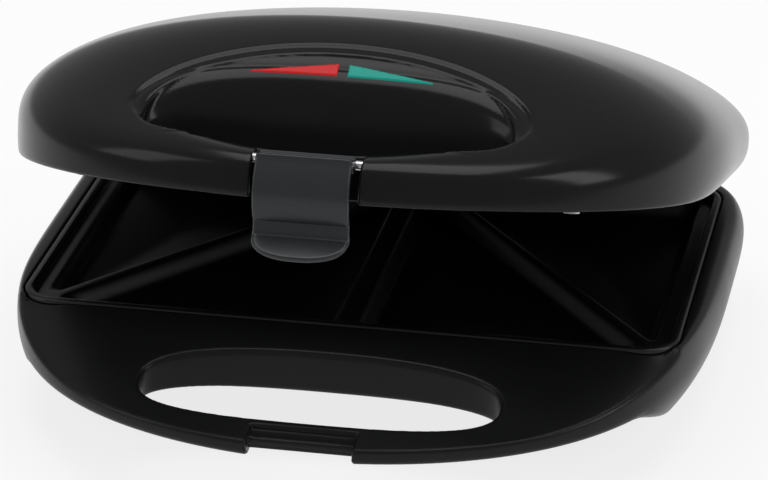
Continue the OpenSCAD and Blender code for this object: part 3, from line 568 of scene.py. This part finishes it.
@dataclass(frozen=True)
class Studio:
    """The floor, the lamps and the camera."""

    azimuth: float = 11.16
    elevation: float = 24.17
    focal_px: float = 3890.0
    distance: float = 1235.0
    aim_px: tuple[float, float] = (341.2, 323.7)
    frame_px: tuple[int, int] = (768, 480)
    sensor_mm: float = 36.0
    near_m: float = 0.05
    floor_half: float = 3.0
    floor_rough: float = 0.9
    floor_level: float = 0.1
    floor_glow: float = 0.8
    # Painted fall-off of light: these distances in metres set where the floor's colour and glow
    # are painted darker away from the object.
    painted_falloff: tuple = (("From Min", 0.7), ("From Max", 1.9), ("To Min", 1.0), ("To Max", 0.5))
    ambient: float = 0.38
    lamps: tuple = (
        ("top_box", (0.0, 0.1, 1.4), (1.2, 0.8), 9),
        ("left_box", (-1.2, -0.5, 0.8), (0.6, 0.9), 3),
        ("right_box", (1.2, -0.2, 0.7), (0.4, 0.9), 4))
    lamps_aim: tuple[float, float, float] = (0, 0, 0.05)

    def camera(self) -> None:
        """Places the camera so that the front middle of the base plate falls on aim_px."""
        a, e = math.radians(self.azimuth), math.radians(self.elevation)
        ahead = Vector((-math.sin(a) * math.cos(e), math.cos(a) * math.cos(e), -math.sin(e)))
        right = Vector((math.cos(a), math.sin(a), 0))
        up = right.cross(ahead)
        aim = Vector((0, PLAN.rim_y, PLAN.base_h))
        k = self.distance / self.focal_px
        off_x = (self.aim_px[0] - self.frame_px[0] / 2) * k
        off_y = (self.aim_px[1] - self.frame_px[1] / 2) * k
        where = aim - (ahead * self.distance + right * off_x - up * off_y)
        data = bpy.data.cameras.new("camera")
        data.sensor_width = self.sensor_mm
        data.lens = self.focal_px / self.frame_px[0] * data.sensor_width
        data.clip_start = self.near_m
        camera = bpy.data.objects.new("camera", data)
        camera.location = where * MM
        camera.rotation_mode = "QUATERNION"
        camera.rotation_quaternion = ahead.to_track_quat("-Z", "Y")
        bpy.context.scene.collection.objects.link(camera)
        bpy.context.scene.camera = camera

    def floor(self) -> None:
        """Lays a white floor that keeps a soft shadow, with a painted fall-off of light far from
        the object.
        """
        size = self.floor_half
        mesh = bpy.data.meshes.new("floor")
        mesh.from_pydata([(-size, -size, 0), (size, -size, 0), (size, size, 0), (-size, size, 0)],
                         [], [(0, 1, 2, 3)])
        floor = bpy.data.objects.new("floor", mesh)
        bpy.context.scene.collection.objects.link(floor)
        mesh.materials.append(self.floor_material())

    def floor_material(self) -> bpy.types.Material:
        """Mixes a plain white with a glow that only camera, glossy and clear rays see."""
        made = bpy.data.materials.new("floor_white")
        made.use_nodes = True
        shader = made.node_tree.nodes["Principled BSDF"]
        shader.inputs["Roughness"].default_value = self.floor_rough
        shader.inputs["Specular IOR Level"].default_value = self.floor_level
        tree = made.node_tree
        white = tree.nodes.new("ShaderNodeEmission")
        where = tree.nodes.new("ShaderNodeTexCoord")
        away = tree.nodes.new("ShaderNodeVectorMath")
        away.operation = "LENGTH"
        tree.links.new(where.outputs["Object"], away.inputs[0])
        # Painted fall-off of light: the floor's glow and colour are painted darker with distance
        # from the object.
        painted_falloff = tree.nodes.new("ShaderNodeMapRange")
        painted_falloff.interpolation_type = "SMOOTHSTEP"
        for name, value in self.painted_falloff:
            painted_falloff.inputs[name].default_value = value
        tree.links.new(away.outputs["Value"], painted_falloff.inputs["Value"])
        for target in (white.inputs["Color"], shader.inputs["Base Color"]):
            tree.links.new(painted_falloff.outputs["Result"], target)
        rays = tree.nodes.new("ShaderNodeLightPath")
        seen = tree.nodes.new("ShaderNodeMath")
        seen.operation = "ADD"
        tree.links.new(rays.outputs["Is Camera Ray"], seen.inputs[0])
        tree.links.new(rays.outputs["Is Glossy Ray"], seen.inputs[1])
        clear = tree.nodes.new("ShaderNodeMath")
        clear.operation = "ADD"
        tree.links.new(seen.outputs["Value"], clear.inputs[0])
        tree.links.new(rays.outputs["Is Transmission Ray"], clear.inputs[1])
        share = tree.nodes.new("ShaderNodeMapRange")
        share.inputs["To Max"].default_value = self.floor_glow
        tree.links.new(clear.outputs["Value"], share.inputs["Value"])
        blend = tree.nodes.new("ShaderNodeMixShader")
        tree.links.new(share.outputs["Result"], blend.inputs["Fac"])
        tree.links.new(shader.outputs["BSDF"], blend.inputs[1])
        tree.links.new(white.outputs["Emission"], blend.inputs[2])
        tree.links.new(blend.outputs["Shader"], tree.nodes["Material Output"].inputs["Surface"])
        return made

    def world(self) -> None:
        """Surrounds the object with an even, dim light. From the front only the floor shows."""
        world = bpy.data.worlds.new("studio")
        bpy.context.scene.world = world
        world.use_nodes = True
        back = world.node_tree.nodes["Background"]
        back.inputs["Color"].default_value = (1, 1, 1, 1)
        back.inputs["Strength"].default_value = self.ambient

    def lamp(self, name: str, where: tuple, size: tuple, watts: float) -> None:
        """Hangs one soft box that faces the object.

        Args:
            name: the lamp's name.
            where: its place, in metres.
            size: its width and height, in metres.
            watts: its power.
        """
        data = bpy.data.lights.new(name, "AREA")
        data.shape = "RECTANGLE"
        data.size, data.size_y = size
        data.energy = watts
        lamp = bpy.data.objects.new(name, data)
        lamp.location = where
        aim = Vector(self.lamps_aim) - Vector(where)
        lamp.rotation_mode = "QUATERNION"
        lamp.rotation_quaternion = aim.to_track_quat("-Z", "Y")
        bpy.context.scene.collection.objects.link(lamp)

    def build(self) -> None:
        """Makes the whole studio."""
        self.camera()
        self.floor()
        self.world()
        for lamp in self.lamps:
            self.lamp(*lamp)
        bpy.context.scene.view_settings.view_transform = "Standard"


# ---------------------------------------------------------------- pieces


@dataclass
class Shell:
    """What the two halves of the casing share. Depths are measured from the parting plane."""

    plan: Plan = PLAN
    barrel_r: float = 4.5
    pin_r: float = 1.66
    lead_r: float = 3.0
    lead_barrel: tuple[float, float] = (0.25, 22.25)

    def well(self, x: Array, y: Array, depth: Array) -> Array:
        """Distance to the plate's seat and the way through below it."""
        p = self.plan
        v = y - p.plate_y
        seat = round_rect(x, v, p.plate_w + 0.8, p.plate_d + 0.8, 12.4)
        through = round_rect(x, v, p.plate_w - 7, p.plate_d - 7, 9)
        return np.minimum(np.maximum(seat, depth - p.ledge),
                          np.maximum(through, depth - p.ledge - 2 * p.wall))

    def cover_seat(self, x: Array, y: Array, out: Array, width: float, depth: Array) -> Array:
        """Distance to the recess for the cover under a handle.

        Args:
            x: first coordinate.
            y: second coordinate.
            out: distance to the casing's outline.
            width: width of the finger opening.
            depth: height above the recess's roof, negative inside.

        Returns:
            The distance, negative inside the recess.
        """
        p = self.plan
        ring = oval(x, y - p.grip, width + 2 * p.wall, p.grip_d + 2 * p.wall)
        plan = np.maximum(np.maximum(out + 3, y - p.rim_y + 19),
                          np.maximum(-ring, 20.5 - np.abs(x)))
        return np.maximum(plan, depth)

    def barrel(self, x: Array, y: Array, up: Array, lo: float, hi: float) -> Array:
        """Distance to a hinge barrel with its arm, from lo to hi."""
        v = y - self.plan.hinge
        arm = block(x, v, up, (lo, -8, 0.8), (hi, 0, 10))
        return np.minimum(rod(v, up, x, self.barrel_r, lo, hi), arm)

    def bores(self, x: Array, y: Array, up: Array) -> Array:
        """Distance to the bores of the pins and of the lid's leads."""
        v = y - self.plan.hinge
        return np.minimum(rod(v, up, np.abs(x), self.pin_r, 44, 80),
                          rod(v, up, np.abs(x), self.lead_r, -1, 30))


@dataclass
class LidShell(Shell):
    """The lid's moulding: a dome with a brow, a finger opening and a notch for the clip."""

    low_front: float = 7.0
    low_side: float = 10.0
    front_h: float = 22.0
    rise_power: float = 1.25
    height_power: float = 2.6
    plan_power: int = 6
    brow: float = 49.0
    brow_v: float = -30.0
    scoop: tuple[float, float] = (124.0, 49.0)
    face: tuple[float, float] = (112.0, 42.0)
    bar_back: float = -50.0
    hollow_front: float = -12.0
    side_barrel: tuple[float, float] = (57.5, 66.5)
    opening_w: float = 115.0
    cover_w: float = 121.0
    bar: float = 14.2
    notch_half: float = 16.5
    notch_back: float = -55.8
    lens_near: float = 1.6
    lens_far: float = 29.0
    lens_low: float = -14.6
    lens_tall: float = 3.0

    def dome(self, x: Array, y: Array, z: Array) -> tuple[Array, Array]:
        """Distance to the uncut dome, and to the casing's outline."""
        p = self.plan
        q, out, slope = p.outline(x, y)
        low = mix(self.low_front, self.low_side, p.beside(y))
        crown = p.lid_h - 13 * (x / 100) ** 2 - 6.5 * (
            np.maximum(y - p.rim_y - 30, 0) / 100) ** 2
        rise = smooth((y - p.rim_y + p.reach) / 84) ** self.rise_power
        tall = mix(self.front_h, crown, rise) - low
        s = np.maximum((z - low) / tall, 0)
        a, b = self.height_power, self.plan_power
        value = s ** a + q ** b - 1
        grad = np.sqrt((a * s ** (a - 1) / tall) ** 2 + (b * q ** (b - 1) * slope) ** 2 + 1e-6)
        u = np.clip((low - z) / (low - p.seam), 0, 1)
        below = out + mix(0.6, 6.0, p.waist(y)) * (1 - np.sqrt(1 - u * u + 1e-6))
        return smax(np.where(z > low, value / grad, below), p.seam - z, 0.9), out

    def facet(self, x: Array, y: Array) -> Array:
        """Height of the brow's sloping facet."""
        return self.brow + (y - self.plan.rim_y) + 0.0007 * x * x

    def wedge(self, x: Array, y: Array) -> Array:
        """Distance in plan to a lens: straight in front, tallest beside the middle."""
        far = (np.abs(x) - self.lens_near) / (self.lens_far - self.lens_near)
        up = y - self.plan.rim_y - self.lens_low + 0.0012 * x * x
        tall = 0.4 + self.lens_tall * (1 - far)
        return np.maximum(np.maximum(self.lens_near - np.abs(x), np.abs(x) - self.lens_far),
                          np.maximum(-up, up - tall))

    def outside(self, x: Array, y: Array, z: Array) -> tuple[Array, Array]:
        """Distance to the dome with its brow and bar, and to the casing's outline."""
        p = self.plan
        v = y - p.rim_y
        d, out = self.dome(x, y, z)
        rise = np.maximum(0.0, v - self.bar_back)
        steep = np.where(v > self.bar_back, 2.24, 1.0)
        d = smax(d, (z - self.bar - 0.0021 * x * x - 2 * rise) / steep, 1.8)
        d = d + 0.9 * smooth(0.5 - oval(x, v - self.brow_v, *self.scoop, 2.0) / 1.3)
        facet = (self.facet(x, y) - z) / DIAGONAL
        face = oval(x, v - self.brow_v, *self.face, 2.0)
        return smax(d, -np.maximum(face, facet), 0.9), out

    def shape(self, x: Array, y: Array, z: Array) -> Array:
        """The whole moulding's field."""
        p = self.plan
        v = y - p.rim_y
        d, out = self.outside(x, y, z)
        hollow = np.maximum(smax(d + p.wall + 0.2, p.ledge + p.wall + 1 - z, 2.0),
                            self.hollow_front - v)
        hole = oval(x, y - p.grip, self.opening_w, p.grip_d)
        d = d + 0.3 * np.exp(-((hole - 5.2) / 0.6) ** 2) * smooth((v + 36) / 6)
        d = np.maximum(d, -hollow)
        posts = rod(x, np.abs(y - p.plate_y) - 0.373 * p.plate_d, z, 5.0, 15, 42)
        d = np.minimum(d, posts)
        lip = mix(1.2, mix(1.2, 3.6, smooth((v + 45) / 16)), smooth((z - 3) / 8))
        d = smax(d, -hole, lip)
        d = smax(d, -np.maximum(np.abs(x) - self.notch_half, v - self.notch_back), 0.8)
        d = np.minimum(d, self.barrel(np.abs(x), y, z, *self.side_barrel))
        d = np.minimum(d, self.barrel(x, y, z, *self.lead_barrel))
        d = np.maximum(d, -self.bores(x, y, z))
        d = np.maximum(d, -self.well(x, y, z))
        seat = self.cover_seat(x, y, out, self.cover_w, z - 2.6)
        return np.maximum(d, -seat)

    def lens(self, side: int) -> Field:
        """Field of one lens, on the side where x has the given sign."""
        def shape(x: Array, y: Array, z: Array) -> Array:
            depth = self.facet(x, y) - z
            body = np.maximum(self.wedge(x, y), np.maximum(-side * x, depth - 1.5))
            return smax(body, -0.28 - depth / DIAGONAL, 0.4)
        return shape

    def build(self) -> None:
        """Makes the shell and its two lenses."""
        p = self.plan
        place = p.lid_place()
        skin = Skin(self.shape, (-118, p.front - 2, -6), (118, p.hinge + 7, 53), 0.8)
        piece = skin.build("lid_moulding", place)
        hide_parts("lid_shell")
        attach(piece, "lid")
        dress(piece, GLOSS)
        for side, name, finish in ((-1, "red_lens", RED), (1, "green_lens", GREEN)):
            edge = sorted((side * 1.0, side * 34.0))
            lens = Skin(self.lens(side), (edge[0], p.rim_y - 17, 28), (edge[1], p.rim_y - 9, 42),
                        0.35)
            piece = lens.build(name + "_moulding", place)
            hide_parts(name)
            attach(piece, "lid")
            dress(piece, finish)


@dataclass
class BaseShell(Shell):
    """The base's moulding: a bulged bowl behind a sloping handle with a finger opening."""

    opening_w: float = 114.0
    slab: float = -16.3
    floor: float = -36.5
    bulge_front: float = -12.7
    bulge_side: float = -10.5
    edge_front: float = -10.9
    edge_side: float = -3.6
    post_r: float = 5.5
    well_r: float = 4.2
    gland_x: float = 34.0
    gland_z: float = -17.0
    gland_seat_r: float = 9.0
    gland_r: float = 5.5
    side_barrels: tuple = ((49, 57), (67, 75))

    def side(self, y: Array, z: Array, out: Array) -> Array:
        """Distance to the bulged side wall, without top and bottom."""
        p = self.plan
        bulge = mix(self.bulge_front, self.bulge_side, p.beside(y))
        u = np.clip((z - bulge) / (-p.seam - bulge), 0, 1)
        over = out + mix(1.6, 6.0, p.waist(y)) * (1 - np.sqrt(1 - u * u + 1e-6))
        v = np.maximum((bulge - z) / (bulge - self.floor), 0)
        return np.where(z > bulge, over, out + 15 * v ** 1.9)

    def top(self, x: Array, y: Array, q: Array) -> Array:
        """Height of the top: from the handle's edge band up to the plate's rim."""
        p = self.plan
        inner = ((np.abs(x) / (p.width / 2 + 1.4)) ** 8
                 + (np.abs(y - p.mid) / (p.mid - p.rim_y + 1)) ** 8) ** 0.125
        rise = np.clip((1 - q) * inner / np.maximum(inner - q, 0.004), 0, 1)
        edge = mix(self.edge_front, self.edge_side, p.beside(y))
        return mix(edge, -p.seam, np.where(y > p.mid, 1.0, rise))

    def shape(self, x: Array, y: Array, z: Array) -> Array:
        """The whole moulding's field."""
        p = self.plan
        v = y - p.rim_y
        q, out, _ = p.outline(x, y)
        side = self.side(y, z, out)
        d = smax(side, (z - self.top(x, y, q)) / 1.03, 1.1)
        toe = np.interp(z, [self.floor, -31, self.slab], [29.0, 17.0, -15.5])
        d = smax(d, smin(self.slab - z, (toe - v) * 0.42, 2.0), 2.4)
        d = smax(d, self.floor - z, 3.0)
        outer = d
        hollow = np.maximum(np.maximum(side + p.wall + 0.2, (toe + 6.5 - v) * 0.42),
                            np.maximum(self.floor + p.wall - z, z + 8.6))
        d = np.maximum(d, -hollow)
        px, py = np.abs(x) - p.post_x, np.abs(y - p.plate_y) - p.post_y
        d = np.minimum(d, np.maximum(outer, rod(px, py, z, self.post_r, -36, -22.4)))
        gx, gz = x - self.gland_x, z - self.gland_z
        d = np.minimum(d, rod(gx, gz, y, self.gland_seat_r, p.rear - 9, p.rear + 1))
        d = np.maximum(d, -np.minimum(rod(px, py, z, self.well_r, -60, -28.5),
                                      rod(gx, gz, y, self.gland_r, p.rear - 20, p.rear + 9)))
        d = smax(d, -oval(x, y - p.grip, self.opening_w, p.grip_d), 1.8)
        d = np.maximum(d, -self.catch(x, y, z))
        for lo, hi in self.side_barrels:
            d = np.minimum(d, self.barrel(np.abs(x), y, -z, lo, hi))
        d = np.minimum(d, self.barrel(-x, y, -z, *self.lead_barrel))
        d = np.maximum(d, -self.bores(x, y, -z))
        d = np.maximum(d, -self.well(x, y, -z))
        seat = self.cover_seat(x, y, out, self.opening_w, z - self.slab - 1.8)
        return np.maximum(d, -seat)

    def catch(self, x: Array, y: Array, z: Array) -> Array:
        """Distance to the notch in which the clip's tooth finds its ridge."""
        v = y - self.plan.front
        back = np.where(z > -11.5, 10.0, np.where(z < -14.0, 7.1, 4.5))
        return np.maximum(np.abs(x) - 16.5, v - back)

    def build(self) -> None:
        """Makes the shell."""
        p = self.plan
        skin = Skin(self.shape, (-118, p.front - 2, -38), (118, p.hinge + 7, 6), 0.8)
        piece = skin.build("base_moulding", p.base_place())
        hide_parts("base_shell")
        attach(piece, "base")
        dress(piece, SATIN)


@dataclass
class Plate:
    """One cast plate with its four pyramid pockets, for the base or, turned over, the lid."""

    plan: Plan = PLAN
    land_w: float = 6.0
    deep: float = 6.0
    dip: float = 2.6

    def pocket(self, x: Array, v: Array, corners: list[tuple]) -> Array:
        """Share of depth in one pocket: 1 on its floor's edge, rising to its middle."""
        out = None
        for k in range(3):
            (ax, ay), (bx, by) = corners[k], corners[(k + 1) % 3]
            size = math.hypot(bx - ax, by - ay)
            edge = ((by - ay) * (x - ax) - (bx - ax) * (v - ay)) / size
            out = edge if out is None else smax(out, edge, 5.0)
        return out

    def height(self, x: Array, y: Array) -> Array:
        """Depth of the cooking face below the parting plane, as a negative height."""
        p = self.plan
        v, ax = y - p.plate_y, np.abs(x)
        near, far = -p.plate_d / 2 + 7, p.plate_d / 2 - 7
        lo, hi = self.land_w / 2, p.plate_w / 2 - 7
        n = math.hypot(hi - lo, far - near)
        dx, dy = (hi - lo) / n, (near - far) / n
        sx, sy = -dy * self.land_w / 2, dx * self.land_w / 2
        first = [(lo, far - 8 * dy - sy - 2), (lo, near), (hi - sx, near)]
        second = [(hi, near + sy), (hi, far), (lo + sx, far)]
        depth = 0.0
        for corners in (first, second):
            d = self.pocket(ax, v, corners)
            depth = depth + self.deep * smooth(-d / 4.5) + self.dip * np.clip(
                (-d - 4) / 22, 0, 1)
        rim = smooth(round_rect(x, v, p.plate_w - 5, p.plate_d - 5, 9.5) / 1.2 + 0.9)
        return -p.lip - p.rim * (1 - rim) - depth

    def shape(self, x: Array, y: Array, z: Array) -> Array:
        """The casting's field, facing up."""
        p = self.plan
        v = y - p.plate_y
        top = self.height(x, y)
        plan = round_rect(x, v, p.plate_w, p.plate_d, 12)
        inner = round_rect(x, v, p.plate_w - 12, p.plate_d - 12, 8)
        low = -p.ledge - 7.6 * smooth(-inner / 2)
        d = np.maximum(smax(plan, (z - top) / 1.25, 1.0), (low - z) / 1.25)
        band = np.abs(round_rect(x, v, 116, 58, 15)) - 3.2
        posts = rod(np.abs(x) - p.post_x, np.abs(v) - p.post_y, z, 4.0, -21.5, 0)
        under = np.minimum(np.maximum(band, -15 - z), posts)
        return np.minimum(d, np.maximum(under, (z - top + 1.2) / 1.25))

    def build(self, name: str, body: str, place: Matrix) -> None:
        """Makes one plate."""
        p = self.plan
        half = p.plate_w / 2 + 1
        skin = Skin(self.shape, (-half, p.rim_y - 1, -23), (half, p.rim_y + p.plate_d + 1, 1),
                    0.8)
        piece = skin.build(name + "_casting", place)
        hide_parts(name)
        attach(piece, body)
        dress(piece, COATED)


@dataclass
class Clip:
    """The swinging clip: a bowed wall, a crease, a panel with its tooth, and a finger flange."""

    plan: Plan = PLAN
    width: float = 29.4
    pin_y: float = 5.5
    pin_z: float = 12.4
    wall: float = 2.4
    bow_r: float = 17.0
    bow: tuple[float, float] = (8.1, -7.6)
    crease: tuple[float, float] = (-5.2, -18.2)
    panel: tuple[float, float] = (-3.6, -28.2)
    root: tuple[float, float] = (-3.7, -23.6)
    slope: float = math.radians(41)
    swing: float = math.radians(4)
    flange: float = 8.6
    barrel_r: float = 2.7
    bore_r: float = 1.56
    tooth_r: float = 28.0
    tooth_half: float = 1.1
    tab_half: float = 8.5

    def profile(self, y: Array, z: Array) -> Array:
        """Distance in the side view, about the pin, of the wall, the panel and the tooth."""
        ring = np.abs(np.hypot(y - self.bow[0], z - self.bow[1]) - self.bow_r + self.wall / 2)
        wall = np.maximum(smax(ring - self.wall / 2, z - 1.6, 0.8),
                          np.maximum(self.crease[1] - z, y + 0.5))
        barrel = np.hypot(y, z) - self.barrel_r
        web = np.maximum(np.maximum(-y - 7.0, y), np.abs(z - 0.6) - 1.2)
        dy, dz = self.panel[0] - self.crease[0], self.panel[1] - self.crease[1]
        size = math.hypot(dy, dz)
        across = ((y - self.crease[0] - 0.8) * -dz + (z - self.crease[1]) * dy) / size
        along = ((y - self.crease[0]) * dy + (z - self.crease[1]) * dz) / size
        panel = np.maximum(np.abs(across - 0.85) - 0.85,
                           np.maximum(-along - 1.5, along - size))
        r = np.hypot(y, z)
        tooth = np.maximum(np.abs(r - self.tooth_r) - self.tooth_half,
                           np.maximum(y - 0.1, np.maximum(-3.9 - y, z)))
        top = smin(smin(wall, web, 0.6), barrel, 0.6)
        return np.minimum(np.minimum(top, panel), tooth)

    def shape(self, x: Array, y: Array, z: Array) -> Array:
        """The clip's field."""
        p = self.plan
        y, z = y - p.front - self.pin_y, z - self.pin_z
        c, s = math.cos(self.swing), math.sin(self.swing)
        y, z = y * c - z * s, y * s + z * c
        half = np.where(z < self.root[1] - 1.0, self.tab_half, self.width / 2)
        d = smax(self.profile(y, z), np.abs(x) - half, 0.9)
        c, s = math.cos(self.slope), math.sin(self.slope)
        out = -(y - self.root[0]) * c - (z - self.root[1]) * s
        lift = -(y - self.root[0]) * s + (z - self.root[1]) * c
        plan = oval(x, np.maximum(out, 0), self.width, 2 * self.flange, 2.3)
        flange = np.maximum(smax(np.abs(lift) - 0.95, plan, 0.9), -out - 2.2)
        return np.maximum(smin(d, flange, 0.6), self.bore_r - np.hypot(y, z))

    def build(self) -> None:
        """Makes the clip."""
        p = self.plan
        half = self.width / 2 + 1
        skin = Skin(self.shape, (-half, p.front - 7, -20), (half, p.front + 11, 18), 0.4)
        piece = skin.build("clip_moulding", p.lid_place())
        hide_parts("latch_clip")
        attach(piece, "latch")
        dress(piece, CLIP)


@dataclass
class CadPieces:
    """The model's own nodes, as packed. Skins stand for seven of them."""

    finishes: dict[str, Finish | Lens] = field(default_factory=lambda: NODE_FINISH)

    def dress(self) -> None:
        """Gives every node its finish."""
        for name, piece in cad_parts.items():
            dress(piece, self.finishes.get(name, ZINC))
            LOG.info("dressed %s", name)


def main() -> None:
    """Builds the studio and the pieces in order."""
    logging.basicConfig(level=logging.INFO)
    Studio().build()
    CadPieces().dress()
    LidShell().build()
    BaseShell().build()
    Clip().build()
    Plate().build("base_plate", "base", PLAN.base_place())
    Plate().build("lid_plate", "lid", PLAN.lid_place() @ Matrix.Scale(-1, 4, (0, 0, 1)))


if __name__ == "__main__":
    main()
